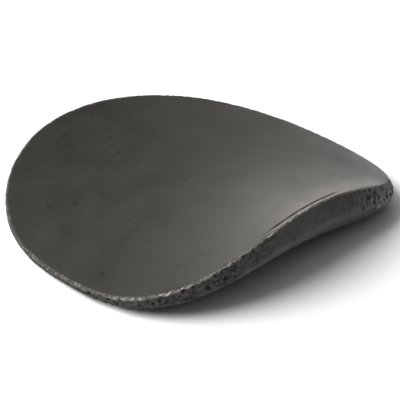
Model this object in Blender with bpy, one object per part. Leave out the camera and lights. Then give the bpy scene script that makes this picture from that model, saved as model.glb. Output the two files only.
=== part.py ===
"""Contoured basalt massage stone, cut and worn from one piece of rock.

Units are metres, +Z is up, and +X runs from the broad heel end to the narrow toe end.
The upper face is a saddle: it arches along the stone and is twisted, so that it stands
high on the toe side of -Y, where a soft hump makes the crest, and on the heel side of +Y.
A band of rough rock runs round the edge. Under it the belly draws in to a small flat that
the stone rests on, at z = 0. The middle of the stone's box is over the origin.
Turns round the stone are measured from +X towards +Y.
"""
import math

import bmesh
import bpy
from mathutils import Vector

# Outline from above
HALF_LENGTH = 0.078
HALF_WIDTH = 0.0585
TOE_TAPER = 0.209           # share of the half width lost at the toe and gained at the heel
CORNER_SWELL = 0.0036       # three soft corners stand this far out
CORNER_TURN = math.radians(24.5)
SIDE_SWELL = 0.0018         # four still softer ones
SIDE_TURN = math.radians(-17)

# Upper face
TOE_RISE = 0.0318           # slope up towards the toe
FAR_RISE = 0.0335           # slope up towards +Y
ARCH_RADIUS = 0.165         # bend along the stone, high in the middle
TWIST = 3.13                # slope gained along one axis for each metre along the other
CREST_LIFT = 0.0147
CREST_X = 0.0518
CREST_Y = -0.0842
CREST_SPREAD = 0.0369

# Rim, from the upper face's edge down to the belly
WALL_HEIGHT = 0.0032        # at its thinnest
CREST_WALL = 0.0144         # added below the crest
CREST_WALL_TURN = math.radians(308)
CREST_WALL_SPREAD = math.radians(37)
FAR_WALL = 0.0042           # added on the far side
FAR_WALL_TURN = math.radians(76)
FAR_WALL_SPREAD = math.radians(33)
EDGE_ROUND = 0.0015
TOE_BULGE = 0.0028          # how far the wall stands out at the toe's tip
TOE_BULGE_TURN = math.radians(335)
TOE_BULGE_SPREAD = math.radians(22)
WALL_TUCK = 0.0012          # how far the wall's foot draws in

# Belly
FOOT_CLEARANCE = 0.0014     # from the base up to the lowest place of the wall's foot
REST_X = 0.0005             # under the centre of mass
REST_Y = -0.0018
REST_HALF_LENGTH = 0.022
REST_HALF_WIDTH = 0.016
BELLY_CURVE = 1.25          # 1 is a straight slope up to the wall, more is rounder

# Mesh
SEGMENTS = 80
FACE_STEPS = 8
EDGE_STEPS = 3
WALL_STEPS = 5
BELLY_STEPS = 7
RINGS = FACE_STEPS + EDGE_STEPS + WALL_STEPS + BELLY_STEPS + 1
NORMAL_STEP = 0.001         # radians, for the outline's outward direction
SMOOTH_ANGLE = math.radians(50)

STONE_COLOUR = (0.075, 0.072, 0.066, 1.0)
STONE_ROUGHNESS = 0.45


def clear_scene():
    for scene_object in list(bpy.data.objects):
        bpy.data.objects.remove(scene_object, do_unlink=True)


def swell_round(turn, middle, spread):
    """1 at the middle turn, fading to 0 a few spreads away on both sides of it."""
    away = (turn - middle + math.pi) % math.tau - math.pi
    return math.exp(-(away / spread) ** 2 / 2)


def outline(turn):
    """The edge of the upper face, seen from above, at an angle round the stone."""
    swell = CORNER_SWELL * math.cos(3 * (turn - CORNER_TURN))
    swell += SIDE_SWELL * math.cos(4 * (turn - SIDE_TURN))
    across = HALF_WIDTH * (1 - TOE_TAPER * math.cos(turn)) + swell
    return Vector(((HALF_LENGTH + swell) * math.cos(turn), across * math.sin(turn)))


def outward(turn):
    """The level direction square to the outline."""
    along = outline(turn + NORMAL_STEP) - outline(turn - NORMAL_STEP)
    return Vector((along.y, -along.x)).normalized()


def face_rise(place):
    """How far the upper face stands above its own middle, over a place on the base plane."""
    x, y = place
    rise = TOE_RISE * x + FAR_RISE * y
    rise -= x * x / (2 * ARCH_RADIUS)
    rise -= TWIST * x * y
    crest_distance = math.hypot(x - CREST_X, y - CREST_Y) / CREST_SPREAD
    return rise + CREST_LIFT * math.exp(-crest_distance ** 2 / 2)


def wall_height(turn):
    """Height of the rim, from the upper face's edge to the wall's foot."""
    height = WALL_HEIGHT
    height += CREST_WALL * swell_round(turn, CREST_WALL_TURN, CREST_WALL_SPREAD)
    height += FAR_WALL * swell_round(turn, FAR_WALL_TURN, FAR_WALL_SPREAD)
    return height


def face_point(share, turn):
    """A point of the upper face, a share of the way out to the rounded edge."""
    place = share * (outline(turn) - EDGE_ROUND * outward(turn))
    return place.to_3d() + Vector((0, 0, face_rise(place)))


def edge_point(share, turn):
    """A point of the rounded edge, from the upper face over to the wall."""
    angle = share * math.pi / 2
    place = outline(turn) - EDGE_ROUND * (1 - math.sin(angle)) * outward(turn)
    height = face_rise(place) - EDGE_ROUND * (1 - math.cos(angle))
    return place.to_3d() + Vector((0, 0, height))


def wall_point(share, turn):
    """A point of the wall, a share of the way down from the rounded edge to its foot."""
    bulge = TOE_BULGE * swell_round(turn, TOE_BULGE_TURN, TOE_BULGE_SPREAD)
    stand_out = bulge * math.sin(math.pi * share) - WALL_TUCK * share ** 3
    place = outline(turn) + stand_out * outward(turn)
    top = face_rise(outline(turn)) - EDGE_ROUND
    drop = (wall_height(turn) - EDGE_ROUND) * share
    return place.to_3d() + Vector((0, 0, top - drop))


def rest_level():
    """Height of the flat, so far below the wall's foot that the foot never touches down."""
    turns = [math.tau * step / SEGMENTS for step in range(SEGMENTS)]
    return min(wall_point(1, turn).z for turn in turns) - FOOT_CLEARANCE


def belly_point(share, turn, level):
    """A point of the belly, a share of the way in from the wall's foot to the flat."""
    foot = wall_point(1, turn)
    rest_edge = Vector((REST_X + REST_HALF_LENGTH * math.cos(turn),
                        REST_Y + REST_HALF_WIDTH * math.sin(turn), level))
    point = foot.lerp(rest_edge, share)
    point.z = level + (foot.z - level) * (1 - share) ** BELLY_CURVE
    return point


def stone_point(step, turn, level):
    """The stone's surface at a step down its section, from the face's middle to the flat's."""
    if step == RINGS:
        return Vector((REST_X, REST_Y, level))
    if step <= FACE_STEPS:
        return face_point(step / FACE_STEPS, turn)
    step -= FACE_STEPS
    if step <= EDGE_STEPS:
        return edge_point(step / EDGE_STEPS, turn)
    step -= EDGE_STEPS
    if step <= WALL_STEPS:
        return wall_point(step / WALL_STEPS, turn)
    return belly_point((step - WALL_STEPS) / BELLY_STEPS, turn, level)


def stand_over_origin(bm, level):
    """Move the stone until its flat is at z = 0 and the middle of its box is over the origin."""
    xs = [vert.co.x for vert in bm.verts]
    ys = [vert.co.y for vert in bm.verts]
    middle = Vector(((max(xs) + min(xs)) / 2, (max(ys) + min(ys)) / 2, level))
    bmesh.ops.translate(bm, verts=bm.verts, vec=-middle)


def honed_basalt():
    material = bpy.data.materials.new("honed_basalt")
    material.use_nodes = True
    shader = material.node_tree.nodes["Principled BSDF"]
    shader.inputs["Base Color"].default_value = STONE_COLOUR
    shader.inputs["Roughness"].default_value = STONE_ROUGHNESS
    shader.inputs["Metallic"].default_value = 0.0
    return material


def make_stone(collection):
    """A sphere whose rings are moved, one by one, onto the stone's section."""
    bm = bmesh.new()
    bmesh.ops.create_uvsphere(bm, u_segments=SEGMENTS, v_segments=RINGS, radius=1.0)
    up = Vector((0, 0, 1))
    level = rest_level()
    for vert in bm.verts:
        step = round(vert.co.angle(up) / math.pi * RINGS)
        vert.co = stone_point(step, math.atan2(vert.co.y, vert.co.x), level)
    stand_over_origin(bm, level)

    mesh = bpy.data.meshes.new("massage_stone")
    bm.to_mesh(mesh)
    bm.free()
    mesh.shade_smooth()
    mesh.set_sharp_from_angle(angle=SMOOTH_ANGLE)
    mesh.materials.append(honed_basalt())
    stone = bpy.data.objects.new("massage_stone", mesh)
    collection.objects.link(stone)
    return stone


def main():
    clear_scene()
    collection = bpy.data.collections.new("basalt_massage_stone")
    bpy.context.scene.collection.children.link(collection)
    make_stone(collection)


main()
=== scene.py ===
# %% [markdown]
# # A contoured basalt massage stone
#
# The object is one slab of dark grey basalt, about 160 mm long. Its upper face is
# honed to a satin finish and bent into a saddle, and a band of raw, broken rock runs
# round the edge. This lesson builds the stone's surface in fine detail around the CAD
# solid, breaks its rim with noise, gives every finish one procedural material, and
# lights the stone on a pale table.
#
# Lengths are in metres. The stone lies flat on z = 0, with its narrow toe towards +X.

# %% Load the frame
import math
from functools import lru_cache

import bmesh
import bpy
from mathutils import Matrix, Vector, noise


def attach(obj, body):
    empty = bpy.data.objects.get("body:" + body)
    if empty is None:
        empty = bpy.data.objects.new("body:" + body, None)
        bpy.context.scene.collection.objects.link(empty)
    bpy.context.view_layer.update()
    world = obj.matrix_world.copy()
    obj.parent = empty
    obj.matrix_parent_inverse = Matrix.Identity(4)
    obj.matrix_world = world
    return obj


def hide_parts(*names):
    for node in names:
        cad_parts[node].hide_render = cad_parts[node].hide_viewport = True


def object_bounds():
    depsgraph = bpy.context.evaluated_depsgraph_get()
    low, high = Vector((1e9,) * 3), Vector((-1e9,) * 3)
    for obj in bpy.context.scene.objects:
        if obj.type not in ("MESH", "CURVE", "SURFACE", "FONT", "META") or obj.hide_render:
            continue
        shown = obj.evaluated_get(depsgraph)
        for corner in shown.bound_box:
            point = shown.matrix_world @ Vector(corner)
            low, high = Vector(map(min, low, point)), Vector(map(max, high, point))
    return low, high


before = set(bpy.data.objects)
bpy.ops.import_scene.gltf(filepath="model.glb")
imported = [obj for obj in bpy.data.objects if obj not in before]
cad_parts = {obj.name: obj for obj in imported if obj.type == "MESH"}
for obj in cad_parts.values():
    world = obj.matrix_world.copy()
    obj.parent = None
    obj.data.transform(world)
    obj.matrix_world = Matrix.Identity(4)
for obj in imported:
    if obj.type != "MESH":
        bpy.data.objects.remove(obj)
cad_low, cad_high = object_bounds()
print("CAD box in mm:", [round(1000 * side, 1) for side in cad_high - cad_low])

# %% [markdown]
# ## The stone's form
#
# A stone like this is cut to an outline, and then its face is ground to a double
# curve. The form is given the same way here: an outline as a function of the turn
# round the stone, and a height of the face over any place. Turns are measured from the
# toe towards +Y.
#
# Many sizes are wanted only near one turn, so one helper gives a soft swell there.

# %% Helpers: a swell near one turn, and a soft ramp
def swell_round(turn, middle, spread):
    """1 at the middle turn, fading to 0 a few spreads away on both sides of it."""
    away = (turn - middle + math.pi) % math.tau - math.pi
    return math.exp(-(away / spread) ** 2 / 2)


def ramp(value, start, end):
    """0 before the start, 1 after the end, and a smooth rise between them."""
    share = min(max((value - start) / (end - start), 0), 1)
    return share * share * (3 - 2 * share)


print("one spread from its middle a swell is", round(swell_round(1, 0, 1), 2))

# %% [markdown]
# The outline is an oval that narrows to the toe, with soft corners left by hand
# cutting. Two cosine waves that run three and four times round the stone make them.
# The results are cached, since every ring of the stone asks for the same turns.

# %% The outline from above
HALF_LENGTH = 0.078
HALF_WIDTH = 0.0585
TOE_TAPER = 0.209
CORNER_SWELL = 0.0036
CORNER_TURN = math.radians(24.5)
SIDE_SWELL = 0.0018
SIDE_TURN = math.radians(-17)
NORMAL_STEP = 0.001


@lru_cache(maxsize=None)
def outline(turn):
    swell = CORNER_SWELL * math.cos(3 * (turn - CORNER_TURN))
    swell += SIDE_SWELL * math.cos(4 * (turn - SIDE_TURN))
    across = HALF_WIDTH * (1 - TOE_TAPER * math.cos(turn)) + swell
    return Vector(((HALF_LENGTH + swell) * math.cos(turn), across * math.sin(turn)))


@lru_cache(maxsize=None)
def outward(turn):
    """The level direction square to the outline."""
    along = outline(turn + NORMAL_STEP) - outline(turn - NORMAL_STEP)
    return Vector((along.y, -along.x)).normalized()


print("the toe is", round(1000 * outline(0).x, 1), "mm from the middle")

# %% [markdown]
# The face follows the curve of a back or a calf. It arches along the stone and is
# twisted, and one soft hump lifts a crest on the -Y side, towards the toe.

# %% The height of the face
TOE_RISE = 0.0318
FAR_RISE = 0.0335
ARCH_RADIUS = 0.165
TWIST = 3.13
CREST_LIFT = 0.0147
CREST = Vector((0.0518, -0.0842))
CREST_SPREAD = 0.0369
CREST_TURN = math.radians(308)


def face_rise(place):
    x, y = place
    rise = TOE_RISE * x + FAR_RISE * y
    rise -= x * x / (2 * ARCH_RADIUS)
    rise -= TWIST * x * y
    crest_distance = (place - CREST).length / CREST_SPREAD
    return rise + CREST_LIFT * math.exp(-crest_distance ** 2 / 2)


crest_height = face_rise(outline(CREST_TURN))
print("the crest stands", round(1000 * crest_height, 1), "mm above the face's middle")

# %% [markdown]
# The rim is the broken side of the slab. It is thickest under the crest and thinnest
# at the broad heel.

# %% The height of the rim
WALL_HEIGHT = 0.0032
CREST_WALL = 0.0144
CREST_WALL_SPREAD = math.radians(37)
FAR_WALL = 0.0042
FAR_WALL_TURN = math.radians(76)
FAR_WALL_SPREAD = math.radians(33)


@lru_cache(maxsize=None)
def wall_height(turn):
    height = WALL_HEIGHT
    height += CREST_WALL * swell_round(turn, CREST_TURN, CREST_WALL_SPREAD)
    height += FAR_WALL * swell_round(turn, FAR_WALL_TURN, FAR_WALL_SPREAD)
    return height


print("the rim is", round(1000 * wall_height(CREST_TURN), 1), "mm high below the crest")

# %% [markdown]
# ## One section, swept round the stone
#
# A UV sphere has a pole at the top, a pole at the bottom and rings between them, which
# is just the layout of a pebble. Each ring is moved onto one line of the stone: across
# the face, over the edge, down the wall, and in along the belly to the flat that the
# stone rests on. Another way is to sculpt a subdivided block, but then the stone's sizes
# would be hard to keep. The rings are crowded near the edge, because the small detail is
# there.

# %% How many rings each part of the section gets
SEGMENTS = 1080
FACE_STEPS = 18
MARGIN_STEPS = 12
EDGE_STEPS = 5
WALL_STEPS = 32
BELLY_STEPS = 14
RINGS = FACE_STEPS + MARGIN_STEPS + EDGE_STEPS + WALL_STEPS + BELLY_STEPS + 1
print("the surface has", RINGS, "rings of", SEGMENTS, "vertices")

# %% [markdown]
# The face comes in two parts. The margin is its last few millimetres, where closely
# spaced rings have to carry the chips and a seam. Each function takes a share, 0 where
# its part starts and 1 where it ends.

# %% Across the face to the edge
EDGE_ROUND = 0.0007
MARGIN = 0.004


def on_face(place):
    return place.to_3d() + Vector((0, 0, face_rise(place)))


def face_point(share, turn):
    return on_face(share * (outline(turn) - (EDGE_ROUND + MARGIN) * outward(turn)))


def margin_point(share, turn):
    inset = EDGE_ROUND + MARGIN * (1 - share)
    return on_face(outline(turn) - inset * outward(turn))


print("margin rings are", round(1000 * MARGIN / MARGIN_STEPS, 2), "mm apart")

# %% [markdown]
# The edge is a small quarter round, worn by handling. The wall below it draws in a
# little towards its foot, and at the toe it swells out into a blunt nose.

# %% Over the edge and down the wall
TOE_BULGE = 0.0028
TOE_BULGE_TURN = math.radians(335)
TOE_BULGE_SPREAD = math.radians(22)
WALL_TUCK = 0.0012


def edge_point(share, turn):
    angle = share * math.pi / 2
    place = outline(turn) - EDGE_ROUND * (1 - math.sin(angle)) * outward(turn)
    return on_face(place) - Vector((0, 0, EDGE_ROUND * (1 - math.cos(angle))))


def wall_point(share, turn):
    bulge = TOE_BULGE * swell_round(turn, TOE_BULGE_TURN, TOE_BULGE_SPREAD)
    stand_out = bulge * math.sin(math.pi * share) - WALL_TUCK * share ** 3
    place = outline(turn) + stand_out * outward(turn)
    top = face_rise(outline(turn)) - EDGE_ROUND
    drop = (wall_height(turn) - EDGE_ROUND) * share
    return place.to_3d() + Vector((0, 0, top - drop))


nose = wall_point(0.5, TOE_BULGE_TURN).xy - outline(TOE_BULGE_TURN)
print("the nose stands out", round(1000 * nose.length, 1), "mm at the toe")

# %% [markdown]
# The belly is the smooth underside. It runs in from the wall's foot to a small oval
# flat, so the stone rests on the flat alone and its rim hangs clear of the table.

# %% In along the belly to the flat
FOOT_CLEARANCE = 0.0014
REST = Vector((0.0005, -0.0018))
REST_HALF_LENGTH = 0.022
REST_HALF_WIDTH = 0.016
BELLY_CURVE = 1.25

lowest_foot = min(wall_point(1, math.tau * step / SEGMENTS).z for step in range(SEGMENTS))
level = lowest_foot - FOOT_CLEARANCE


def belly_point(share, turn):
    foot = wall_point(1, turn)
    rest_edge = Vector((REST.x + REST_HALF_LENGTH * math.cos(turn),
                        REST.y + REST_HALF_WIDTH * math.sin(turn), level))
    point = foot.lerp(rest_edge, share)
    point.z = level + (foot.z - level) * (1 - share) ** BELLY_CURVE
    return point


print("the flat lies", round(-1000 * level, 1), "mm below the face's middle")

# %% [markdown]
# ## How broken the rock is
#
# The rim is raw rock: pitted where grains were torn out, calmer where it split
# cleanly. Below the crest the raw band stops part of the way down and smooth rock
# begins. The wear of the edge varies too, from sharp on the far side to chipped in
# front, and the same amount also sets a painted highlight along the edge. These amounts,
# all from 0 to 1, steer the real relief now and the colour and roughness of the material
# later, so the two always agree. Each row of PITTED is one stretch of the rim: its turn
# and its spread in degrees, and how pitted it is.

# %% Amounts that depend on the turn
CALM = 0.12
PITTED = ((225, 18, 0.65), (262, 11, 0.85), (338, 14, 0.85), (60, 24, 0.35), (150, 26, 0.35))
SMOOTH_FOOT = 0.42
SMOOTH_FOOT_TURN = math.radians(309)
SMOOTH_FOOT_SPREAD = math.radians(25)
LEAST_WEAR = 0.25
WEAR_TURN = math.radians(262)
WEAR_SPREAD = math.radians(33)


@lru_cache(maxsize=None)
def pitting(turn):
    amount = CALM
    for middle, spread, extra in PITTED:
        amount += extra * swell_round(turn, math.radians(middle), math.radians(spread))
    return min(amount, 1.0)


@lru_cache(maxsize=None)
def raw_band(turn):
    """The share of the wall's height that the raw band covers."""
    return 1 - SMOOTH_FOOT * swell_round(turn, SMOOTH_FOOT_TURN, SMOOTH_FOOT_SPREAD)


# This steers the chips' depth and also the painted highlight along the edge.
@lru_cache(maxsize=None)
def edge_wear_and_glint(turn):
    return LEAST_WEAR + (1 - LEAST_WEAR) * swell_round(turn, WEAR_TURN, WEAR_SPREAD)


print("pitting at the toe is", round(pitting(TOE_BULGE_TURN), 2))
print("the raw band covers", round(raw_band(SMOOTH_FOOT_TURN), 2), "of the wall below the crest")

# %% [markdown]
# ## Relief of raw rock
#
# Torn basalt has lumps, sharp ridges between its hollows and fine grain, so its height
# is a sum of three noises of smaller and smaller spacing. Where a noise crosses zero its
# absolute value has a kink, and turned over that is a ridge. The ridges' noise is
# shifted, so that it doesn't follow the others. Pits are cells of a Voronoi pattern,
# each with its own radius. All of them are functions of the place in space, so the
# pattern runs on over the edge without a seam.

# %% Height of torn rock, and pits in it
LUMP_SPACING = 0.0055
RIDGE_SPACING = 0.0022
GRAIN_SPACING = 0.0011
RIDGE_SHIFT = Vector((3, 1, 7))
RIDGE_SHARPNESS = 3
NOISE_SHARE = 0.4
PIT_SPACING = 0.0024
PIT_FULLEST = 0.62
PIT_LEAST = 0.25
PIT_VARIETY = 1.5
PIT_MIXING = 7.3


def torn(point):
    """Height, about -1 to 1, of torn rock."""
    lumps = noise.noise(point / LUMP_SPACING)
    ridges = 1 - RIDGE_SHARPNESS * abs(noise.noise(point / RIDGE_SPACING + RIDGE_SHIFT))
    grains = noise.noise(point / GRAIN_SPACING)
    return NOISE_SHARE * lumps + NOISE_SHARE * ridges + NOISE_SHARE * grains


def pits(point):
    """Depth, 0 to 1, of round pits scattered about one spacing apart."""
    distances, centres = noise.voronoi(point / PIT_SPACING)
    variety = abs(noise.noise(centres[0] * PIT_MIXING))
    radius = PIT_FULLEST * (PIT_LEAST + PIT_VARIETY * variety)
    return max(0, 1 - (distances[0] / radius) ** 2)


print("a large pit is about", round(2000 * PIT_SPACING * PIT_FULLEST, 1), "mm across")

# %% [markdown]
# Chips break the sharp edge here and there. Just inside the crest's edge a thin
# natural seam runs along the stone. Its groove is painted dark as shade, and the narrow
# lip outside it is painted paler as a highlight. The seam wanders a little and its depth
# varies, as a crack in rock does.

# %% Chips and the seam
CHIP_SPACING = 0.0012
CHIP_GROUPING = 0.0045
CHIP_SHIFT = Vector((5, 2, 1))
CHIP_FINE = 0.75
CHIP_COARSE = 0.6
CHIP_RAMP = (-0.1, 0.45)
SEAM_TURN = math.radians(296)
SEAM_SPREAD = math.radians(11.5)
SEAM_INSET = 0.0025
SEAM_WANDER = 0.0005
SEAM_WANDER_SPACING = 0.011
SEAM_FADE = (0.25, 0.6)
SEAM_STRENGTH = 0.85
SEAM_UNEVENNESS = 0.6
SEAM_UNEVEN_SPACING = 0.0045
SEAM_HALF_WIDTH = 0.00042
LIP_FADE = 2.5


def chip(point):
    """How far, 0 to 1, the edge is chipped at a place."""
    fine = noise.noise(point / CHIP_SPACING)
    coarse = noise.noise(point / CHIP_GROUPING + CHIP_SHIFT)
    return ramp(CHIP_FINE * fine + CHIP_COARSE * coarse, *CHIP_RAMP)


@lru_cache(maxsize=None)
def seam_path(turn):
    """The seam's distance from the edge and its strength, 0 to 1."""
    place = outline(turn).to_3d()
    inset = SEAM_INSET + SEAM_WANDER * noise.noise(place / SEAM_WANDER_SPACING)
    strength = ramp(swell_round(turn, SEAM_TURN, SEAM_SPREAD), *SEAM_FADE)
    uneven = SEAM_STRENGTH + SEAM_UNEVENNESS * noise.noise(place / SEAM_UNEVEN_SPACING)
    return inset, strength * min(1, uneven)


def seam_and_lip(inset, turn):
    """How deep the seam is, and how strong the painted highlight on the lip is, at a distance
    from the edge.
    """
    middle, strength = seam_path(turn)
    seam = strength * math.exp(-((inset - middle) / SEAM_HALF_WIDTH) ** 2)
    fade_start = middle - LIP_FADE * SEAM_HALF_WIDTH
    lip = strength * (1 - ramp(inset, fade_start, middle - SEAM_HALF_WIDTH))
    return seam, lip


print("the seam runs", round(1000 * seam_path(SEAM_TURN)[0], 1), "mm inside the crest's edge")

# %% [markdown]
# ## Where each ring goes
#
# Now the parts are strung together. For a step down the section this gives the place,
# how broken it is, how worn the edge is together with its painted highlight, and how
# deep the seam is there. Where the raw band covers the whole wall, the broken rock runs a
# little way in under the belly.

# %% The whole section
ARRIS_WIDTH = 0.0005
LIP_GLINT = 0.55
EDGE_BROKEN = (0.5, 1)
BAND_BLUR = 0.14
BAND_WANDER = 0.009
BELLY_BROKEN = 0.7
BELLY_FADE = 0.25
BELLY_BAND = 0.7


def stone_point(step, turn):
    if step <= FACE_STEPS:
        return face_point(step / FACE_STEPS, turn), 0, 0, 0
    step -= FACE_STEPS
    if step <= MARGIN_STEPS:
        share = step / MARGIN_STEPS
        inset = EDGE_ROUND + MARGIN * (1 - share)
        # The lip outside the seam gets a painted highlight.
        seam, lip = seam_and_lip(inset, turn)
        worn_and_glint = 1 - ramp(inset, EDGE_ROUND, EDGE_ROUND + ARRIS_WIDTH)
        return margin_point(share, turn), 0, max(worn_and_glint, LIP_GLINT * lip), seam
    step -= MARGIN_STEPS
    if step <= EDGE_STEPS:
        share = step / EDGE_STEPS
        return edge_point(share, turn), ramp(share, *EDGE_BROKEN), 1, 0
    step -= EDGE_STEPS
    if step <= WALL_STEPS:
        share = step / WALL_STEPS
        point = wall_point(share, turn)
        end = raw_band(turn) + BAND_BLUR * noise.noise(point / BAND_WANDER)
        broken = 1 - ramp(share, end - BAND_BLUR, end + BAND_BLUR)
        return point, broken, 1 - ramp(share * wall_height(turn), 0, ARRIS_WIDTH), 0
    share = (step - WALL_STEPS) / BELLY_STEPS
    broken = BELLY_BROKEN * (1 - ramp(share, 0, BELLY_FADE)) * ramp(raw_band(turn), BELLY_BAND, 1)
    return belly_point(share, turn), broken, 0, 0


print("the section starts at", [round(1000 * side, 1) for side in stone_point(0, 0)[0]])

# %% [markdown]
# ## Build the surface
#
# The sphere's rings are numbered from the top pole by their angle to it, and the turn
# of each vertex is its angle round the pole. The amounts are stored on the vertices as
# float layers. Blender keeps such layers in the mesh as attributes, and the material
# can read them by name.

# %% Make the sphere and lay its rings on the stone
bm = bmesh.new()
bmesh.ops.create_uvsphere(bm, u_segments=SEGMENTS, v_segments=RINGS, radius=1.0)
broken_layer = bm.verts.layers.float.new("broken")
pitted_layer = bm.verts.layers.float.new("pitted")
pit_and_seam_shade_layer = bm.verts.layers.float.new("pit")
worn_and_glint_layer = bm.verts.layers.float.new("worn_and_glint")
toe_fill_light_layer = bm.verts.layers.float.new("toe_fill_light")
crest_highlight_layer = bm.verts.layers.float.new("crest_highlight")
turns = {}
seams = {}
for vert in bm.verts:
    step = round(vert.co.angle(Vector((0, 0, 1))) / math.pi * RINGS)
    turn = round(math.atan2(vert.co.y, vert.co.x) / math.tau * SEGMENTS) * math.tau / SEGMENTS
    turns[vert] = turn
    if step == RINGS:
        vert.co, seams[vert] = Vector((REST.x, REST.y, level)), 0
    else:
        vert.co, vert[broken_layer], vert[worn_and_glint_layer], seams[vert] = stone_point(step, turn)
print("laid", len(bm.verts), "vertices on the stone")

# %% [markdown]
# Each vertex is then pushed along its own normal. Raw rock gets its lumps, ridges and
# pits. The honed face and the smooth belly get only a slow unevenness, which hand
# finishing always leaves. The flat is left alone, since the stone stands on it. The face
# by the crest gets a painted highlight, a soft pale strip by the edge.

# %% Push the relief into the surface
SLOW_SPACING = 0.016
SLOW_DEPTH = 0.0001
ROUGH_DEPTH = 0.00055
CALM_RELIEF = 0.05
PIT_DEPTH = 0.0011
CHIP_DEPTH = 0.00055
SEAM_DEPTH = 0.0005
WHOLE_EDGE_WEAR_AND_GLINT = 0.32
TOE_FILL_LIGHT_TURN = math.radians(343)
TOE_FILL_LIGHT_SPREAD = math.radians(12)
CREST_HIGHLIGHT_TURN = math.radians(315)
CREST_HIGHLIGHT_SPREAD = math.radians(21)
BRIGHTEST_CREST_HIGHLIGHT = 0.9
CREST_HIGHLIGHT_ALONG = (0.15, 0.7)
CREST_HIGHLIGHT_ACROSS = (0.72, 1.0)
CREST_HIGHLIGHT_EVEN = 0.8
CREST_HIGHLIGHT_UNEVEN = 0.5
CREST_HIGHLIGHT_SPACING = 0.007
FACE_TILT = (0.3, 0.7)
ABOVE_FLAT = 1e-5


def painted_crest_highlight(vert, turn):
    """How strong the painted highlight on the face by the crest is, most of all close to the
    edge.
    """
    along = ramp(swell_round(turn, CREST_HIGHLIGHT_TURN, CREST_HIGHLIGHT_SPREAD), *CREST_HIGHLIGHT_ALONG)
    uneven = CREST_HIGHLIGHT_EVEN + CREST_HIGHLIGHT_UNEVEN * noise.noise(vert.co / CREST_HIGHLIGHT_SPACING)
    across = ramp(vert.co.xy.length / outline(turn).length, *CREST_HIGHLIGHT_ACROSS)
    return BRIGHTEST_CREST_HIGHLIGHT * along * uneven * across * ramp(vert.normal.z, *FACE_TILT)


bm.normal_update()
for vert in bm.verts:
    if vert.co.z > level + ABOVE_FLAT:
        turn, broken, worn_and_glint, place = turns[vert], vert[broken_layer], vert[worn_and_glint_layer], vert.co
        depth = SLOW_DEPTH * noise.noise(place / SLOW_SPACING) - SEAM_DEPTH * seams[vert]
        pitted = broken * pitting(turn)
        pit = pitted * pits(place) if pitted > 0 else 0
        if broken > 0:
            relief = (CALM_RELIEF * broken + pitted) * ROUGH_DEPTH * torn(place)
            depth += relief - PIT_DEPTH * pit
        if worn_and_glint > 0:
            chipped = chip(place)
            depth -= CHIP_DEPTH * edge_wear_and_glint(turn) * worn_and_glint * chipped
            worn_and_glint *= edge_wear_and_glint(turn) * (WHOLE_EDGE_WEAR_AND_GLINT + (1 - WHOLE_EDGE_WEAR_AND_GLINT) * chipped)
        # The pale edge is partly bruised rock, partly a painted highlight where the arris catches
        # light.
        vert[pitted_layer], vert[worn_and_glint_layer] = pitted, worn_and_glint
        # Painted shade inside the pits and the seam.
        vert[pit_and_seam_shade_layer] = max(pit, seams[vert])
        # Painted fill light that makes the toe's raw rock paler.
        vert[toe_fill_light_layer] = broken * swell_round(turn, TOE_FILL_LIGHT_TURN, TOE_FILL_LIGHT_SPREAD)
        # A painted highlight on the face by the crest.
        vert[crest_highlight_layer] = painted_crest_highlight(vert, turn)
        vert.co = place + vert.normal * depth
print("deepest pit marks", round(max(vert[pit_and_seam_shade_layer] for vert in bm.verts), 2))

# %% [markdown]
# The middle of the box goes over the middle of the CAD's box, and the flat onto the
# table. Last the mesh becomes an object that stands in for the CAD stone.

# %% Set the stone in place
xs = [vert.co.x for vert in bm.verts]
ys = [vert.co.y for vert in bm.verts]
middle = (cad_low + cad_high) / 2
shift = Vector((middle.x - (min(xs) + max(xs)) / 2,
                middle.y - (min(ys) + max(ys)) / 2, cad_low.z - level))
bmesh.ops.translate(bm, verts=bm.verts, vec=shift)

mesh = bpy.data.meshes.new("basalt_stone")
bm.to_mesh(mesh)
bm.free()
mesh.shade_smooth()
stone = bpy.data.objects.new("basalt_stone", mesh)
bpy.context.scene.collection.objects.link(stone)
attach(stone, "root")
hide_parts("massage_stone")
print("the stone has", sum(len(face.vertices) - 2 for face in mesh.polygons), "triangles")

# %% [markdown]
# ## The material
#
# Every finish of the stone is the same mineral speckle, only finer or coarser, darker
# or lighter. So the speckle is one node group with named sockets, and each finish is
# one use of it. It works from Object coordinates, so the grain is solid through the
# stone like that of real rock.

# %% Helpers and node group: the basalt speckle
def new_node(tree, kind, sockets=None, **settings):
    """A node with its settings, and with a value or a link on each named socket."""
    node = tree.nodes.new(kind)
    for name, value in settings.items():
        setattr(node, name, value)
    for name, value in (sockets or {}).items():
        if isinstance(value, bpy.types.NodeSocket):
            tree.links.new(value, node.inputs[name])
        else:
            node.inputs[name].default_value = value
    return node


def mix_colours(tree, factor, first, second):
    """A Mix node's colour sockets are its inputs 6 and 7 and its output 2."""
    return new_node(tree, "ShaderNodeMix", {0: factor, 6: first, 7: second},
                    data_type="RGBA").outputs[2]


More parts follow.
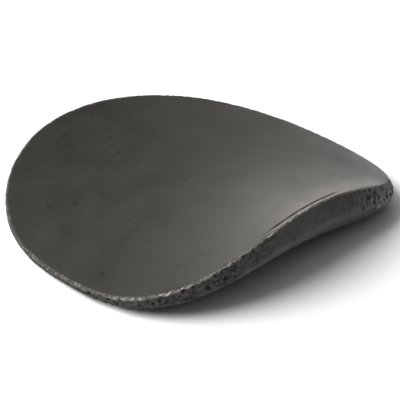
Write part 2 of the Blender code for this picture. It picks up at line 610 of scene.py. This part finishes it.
speckle_group = bpy.data.node_groups.new("basalt_speckle", "ShaderNodeTree")
for name, kind in (("Place", "Vector"), ("Scale", "Float"), ("Detail", "Float"),
                   ("From", "Float"), ("To", "Float"), ("Dark", "Color"), ("Light", "Color")):
    speckle_group.interface.new_socket(name, in_out="INPUT", socket_type="NodeSocket" + kind)
speckle_group.interface.new_socket("Color", in_out="OUTPUT", socket_type="NodeSocketColor")
speckle_group.interface.new_socket("Amount", in_out="OUTPUT", socket_type="NodeSocketFloat")
given = new_node(speckle_group, "NodeGroupInput").outputs
grain = new_node(speckle_group, "ShaderNodeTexNoise", {
    "Vector": given["Place"], "Scale": given["Scale"], "Detail": given["Detail"],
    "Roughness": 0.65})
amount = new_node(speckle_group, "ShaderNodeMapRange", {
    "Value": grain.outputs["Fac"], "From Min": given["From"], "From Max": given["To"]})
tone = mix_colours(speckle_group, amount.outputs["Result"], given["Dark"], given["Light"])
new_node(speckle_group, "NodeGroupOutput", {"Color": tone, "Amount": amount.outputs["Result"]})
print("the speckle group has", len(speckle_group.nodes), "nodes")

# %% [markdown]
# The finishes are laid over each other, from the widest to the smallest: the honed
# stone with its painted highlight strip by the crest first, then raw rock where it is
# broken, the toe painted paler as fill light, the bright edge that is partly bruised rock
# and partly a painted highlight, and last painted shade inside the pits and the seam. A
# few short dark marks are the open pores that honing cuts through. The lava's flow drew
# them out, so their pattern is stretched along the stone.

# %% Colours
HONED = ((0.0135, 0.0135, 0.0108), (0.0230, 0.0227, 0.0188))
MARKED = (0.0085, 0.0082, 0.0068)
CALM_ROCK = ((0.015, 0.015, 0.013), (0.042, 0.041, 0.036))
TORN_ROCK = ((0.004, 0.0045, 0.005), (0.060, 0.059, 0.058))
# The toe's raw rock, painted paler as fill light.
TOE_FILL_LIGHT_ROCK = ((0.024, 0.022, 0.021), (0.28, 0.265, 0.25))
# A painted highlight for the strip by the crest.
CREST_HIGHLIGHT = (0.115, 0.102, 0.093, 1)
# The pale edge: partly bruised rock, partly a painted highlight.
BRUISED_EDGE_AND_GLINT = ((0.07, 0.068, 0.062), (0.42, 0.40, 0.37))
# Painted shade for the inside of the pits and the seam.
PIT_SHADE = (0.004, 0.004, 0.004, 1)
PORE_STRETCH = (0.65, 1, 1)

material = bpy.data.materials.new("basalt")
material.use_nodes = True
tree = material.node_tree
shader = tree.nodes["Principled BSDF"]
solid_place = new_node(tree, "ShaderNodeTexCoord").outputs["Object"]


def speckle(scale, detail, start, end, tones=((0, 0, 0), (1, 1, 1)), place=solid_place):
    """One use of the speckle group, as its outputs."""
    dark, light = tones
    return new_node(tree, "ShaderNodeGroup", {
        "Place": place, "Scale": scale, "Detail": detail, "From": start, "To": end,
        "Dark": (*dark, 1), "Light": (*light, 1)}, node_tree=speckle_group).outputs


def amount_of(name):
    """One of the amounts that were stored on the vertices."""
    return new_node(tree, "ShaderNodeAttribute", attribute_name=name).outputs["Fac"]


mottle = speckle(scale=55, detail=6, start=0.3, end=0.7, tones=HONED)
drawn_out = new_node(tree, "ShaderNodeMapping", {"Vector": solid_place, "Scale": PORE_STRETCH})
pores = speckle(scale=360, detail=3, start=0.59, end=0.72, place=drawn_out.outputs["Vector"])
honed = mix_colours(tree, pores["Amount"], mottle["Color"], (*MARKED, 1))
# The painted highlight strip by the crest goes over the honed tone.
honed = mix_colours(tree, amount_of("crest_highlight"), honed, CREST_HIGHLIGHT)
calm = speckle(scale=300, detail=5, start=0.3, end=0.7, tones=CALM_ROCK)["Color"]
torn_tone = speckle(scale=430, detail=5, start=0.40, end=0.68, tones=TORN_ROCK)["Color"]
# Painted fill light on the toe's raw rock.
toe_fill_light = speckle(scale=480, detail=5, start=0.38, end=0.66, tones=TOE_FILL_LIGHT_ROCK)["Color"]
bruised_and_glint = speckle(scale=700, detail=3, start=0.35, end=0.65, tones=BRUISED_EDGE_AND_GLINT)["Color"]

raw = mix_colours(tree, amount_of("pitted"), calm, torn_tone)
raw = mix_colours(tree, amount_of("toe_fill_light"), raw, toe_fill_light)
colour = mix_colours(tree, amount_of("broken"), honed, raw)
# The pale edge, partly bruised rock and partly a painted highlight.
colour = mix_colours(tree, amount_of("worn_and_glint"), colour, bruised_and_glint)
# Painted shade darkens the inside of the pits and the seam.
colour = mix_colours(tree, amount_of("pit"), colour, PIT_SHADE)
tree.links.new(colour, shader.inputs["Base Color"])
stone.data.materials.append(material)
print("the basalt's colour passes through", len(tree.nodes), "nodes")

# %% [markdown]
# Honing leaves a satin sheen, and it is a little uneven, so the mottle also shifts the
# roughness. Broken rock is dull. A fine bump gives the grain that is too small to model,
# and it sinks the pores.

# %% Roughness and bump
SATIN = (0.35, 0.47)
DULL = 0.8
GRAIN_HEIGHT = 0.00006
GRAIN_STRENGTH = 0.35
PORE_DROP = -1.5

satin = new_node(tree, "ShaderNodeMapRange", {
    "Value": mottle["Amount"], "To Min": SATIN[0], "To Max": SATIN[1]}).outputs["Result"]
rough = new_node(tree, "ShaderNodeMapRange", {
    "Value": amount_of("broken"), "To Min": satin, "To Max": DULL}).outputs["Result"]
tree.links.new(rough, shader.inputs["Roughness"])
fine_grain = speckle(scale=1400, detail=3, start=0.2, end=0.8)["Amount"]
height = new_node(tree, "ShaderNodeMath", {0: pores["Amount"], 1: PORE_DROP, 2: fine_grain},
                  operation="MULTIPLY_ADD").outputs["Value"]
bump = new_node(tree, "ShaderNodeBump", {
    "Height": height, "Strength": GRAIN_STRENGTH, "Distance": GRAIN_HEIGHT})
tree.links.new(bump.outputs["Normal"], shader.inputs["Normal"])
print("satin from", SATIN[0], "to", SATIN[1], "and dull rock at", DULL)

# %% [markdown]
# ## The table
#
# A plain pale disc carries the stone and takes its shadow. It reaches so far that its
# border is out of the camera's sight, and from low down it is only a level line.

# %% Floor
FLOOR_RADIUS = 4.0
FLOOR_SIDES = 96
FLOOR_WHITE = (0.9, 0.9, 0.9, 1)
FLOOR_ROUGHNESS = 0.8
FLOOR_SHINE = 0.2

bm = bmesh.new()
bmesh.ops.create_circle(bm, cap_ends=True, segments=FLOOR_SIDES, radius=FLOOR_RADIUS)
floor_mesh = bpy.data.meshes.new("table_top")
bm.to_mesh(floor_mesh)
bm.free()
floor = bpy.data.objects.new("table_top", floor_mesh)
bpy.context.scene.collection.objects.link(floor)
paper = bpy.data.materials.new("white_table")
paper.use_nodes = True
paper_shader = paper.node_tree.nodes["Principled BSDF"]
paper_shader.inputs["Base Color"].default_value = FLOOR_WHITE
paper_shader.inputs["Roughness"].default_value = FLOOR_ROUGHNESS
paper_shader.inputs["Specular IOR Level"].default_value = FLOOR_SHINE
floor.data.materials.append(paper)
print("the table reaches", FLOOR_RADIUS, "m out")

# %% [markdown]
# ## The light
#
# A satin stone shows its form by what it mirrors. So the room is a soft gradient: it
# glows low down behind the stone, which lights up the crest as the face turns away,
# and it fades upwards and towards the viewer, which leaves the hollow dark. The glow is
# a product of two ramps, one over the height of a direction and one over how far it
# points to the back. Seen directly, past the table, the room is one plain pale wall.

# %% The room's glow
GLOW_TURN = math.radians(21)
GLOW_BRIGHTEST = 5.3
GLOW_LEAST = 0.06
GLOW_RAMP = (0.46, 1.3)
ZENITH = 0.02
ZENITH_RAMP = (0.5, 1.0)
PALE_WALL = 1.0
WARM_WHITE = (1, 0.965, 0.92, 1)
BACK = Vector((-math.sin(GLOW_TURN), math.cos(GLOW_TURN), 0))

world = bpy.data.worlds.new("pale_room")
bpy.context.scene.world = world
world.use_nodes = True
sky = world.node_tree
direction = new_node(sky, "ShaderNodeTexCoord").outputs["Generated"]
upward = new_node(sky, "ShaderNodeSeparateXYZ", {"Vector": direction}).outputs["Z"]
fade = new_node(sky, "ShaderNodeMapRange", {
    "Value": upward, "From Min": ZENITH_RAMP[0], "From Max": ZENITH_RAMP[1],
    "To Min": 1.0, "To Max": ZENITH}, interpolation_type="SMOOTHSTEP").outputs["Result"]
facing = new_node(sky, "ShaderNodeVectorMath", {0: direction, 1: BACK},
                  operation="DOT_PRODUCT").outputs["Value"]
behind = new_node(sky, "ShaderNodeMapRange", {
    "Value": facing, "From Min": GLOW_RAMP[0], "From Max": GLOW_RAMP[1], "To Min": GLOW_LEAST,
    "To Max": GLOW_BRIGHTEST}, interpolation_type="SMOOTHSTEP").outputs["Result"]
glow = new_node(sky, "ShaderNodeMath", {0: fade, 1: behind}, operation="MULTIPLY")
sky.nodes["Background"].inputs["Color"].default_value = WARM_WHITE
seen = new_node(sky, "ShaderNodeLightPath").outputs["Is Camera Ray"]
strength = new_node(sky, "ShaderNodeMix", {0: seen, 2: glow.outputs["Value"], 3: PALE_WALL},
                    data_type="FLOAT").outputs[0]
sky.links.new(strength, sky.nodes["Background"].inputs["Strength"])
bpy.context.scene.view_settings.view_transform = "Standard"
print("the room glows", GLOW_BRIGHTEST, "behind the stone and", GLOW_LEAST, "in front")

# %% [markdown]
# The shadow needs lamps. A sun with a wide angle works like a big softbox far away: its
# shadow is dark close under the crest and melts away from the stone. The main softbox
# stands to the viewer's left and slightly in front. A second, broader and weaker one
# stands high in front and softens the shadow of the low rim. Both are hidden from
# reflections, so the sheen comes from the room alone.

# %% The two softboxes
AZIMUTH = math.radians(-14.9)
TO_RIGHT = Vector((math.cos(AZIMUTH), math.sin(AZIMUTH), 0))
TO_BACK = Vector((-math.sin(AZIMUTH), math.cos(AZIMUTH), 0))


def softbox(name, right, back, angle, energy):
    """A wide sun, standing so far to the right and back for each unit that it is up."""
    sun = bpy.data.lights.new(name, "SUN")
    sun.angle = math.radians(angle)
    sun.energy = energy
    lamp = bpy.data.objects.new(name, sun)
    lamp.visible_glossy = False
    toward = Vector((0, 0, 1)) + right * TO_RIGHT + back * TO_BACK
    lamp.rotation_mode = "QUATERNION"
    lamp.rotation_quaternion = toward.to_track_quat("Z", "Y")
    bpy.context.scene.collection.objects.link(lamp)
    print(name, "stands", round(math.degrees(math.asin(toward.normalized().z))), "degrees high")


softbox("left_softbox", right=-0.83, back=-0.31, angle=42, energy=4.3)
softbox("front_softbox", right=-0.06, back=-0.53, angle=50, energy=0.5)

# %% [markdown]
# ## The camera
#
# A very long lens far away keeps the stone's outline almost free of perspective, which
# suits a small object that is shown for its shape. The camera looks down from its
# elevation at a point just above the table.

# %% Camera
ELEVATION = math.radians(35.8)
LENS = 400
SENSOR = 36
FRAME_WIDTH = 0.1643
AIM_RIGHT = -0.0029
AIM_HEIGHT = 0.0155
FARTHEST_SEEN = 50

camera = bpy.data.objects.new("camera", bpy.data.cameras.new("camera"))
camera.data.lens = LENS
camera.data.sensor_width = SENSOR
camera.data.clip_end = FARTHEST_SEEN
sight = Vector((0, 0, math.sin(ELEVATION))) - math.cos(ELEVATION) * TO_BACK
aim = AIM_RIGHT * TO_RIGHT + Vector((0, 0, AIM_HEIGHT))
distance = FRAME_WIDTH * LENS / SENSOR
camera.location = aim + distance * sight
camera.rotation_mode = "QUATERNION"
camera.rotation_quaternion = sight.to_track_quat("Z", "Y")
bpy.context.scene.collection.objects.link(camera)
bpy.context.scene.camera = camera
print("the camera is", round(distance, 2), "m away")
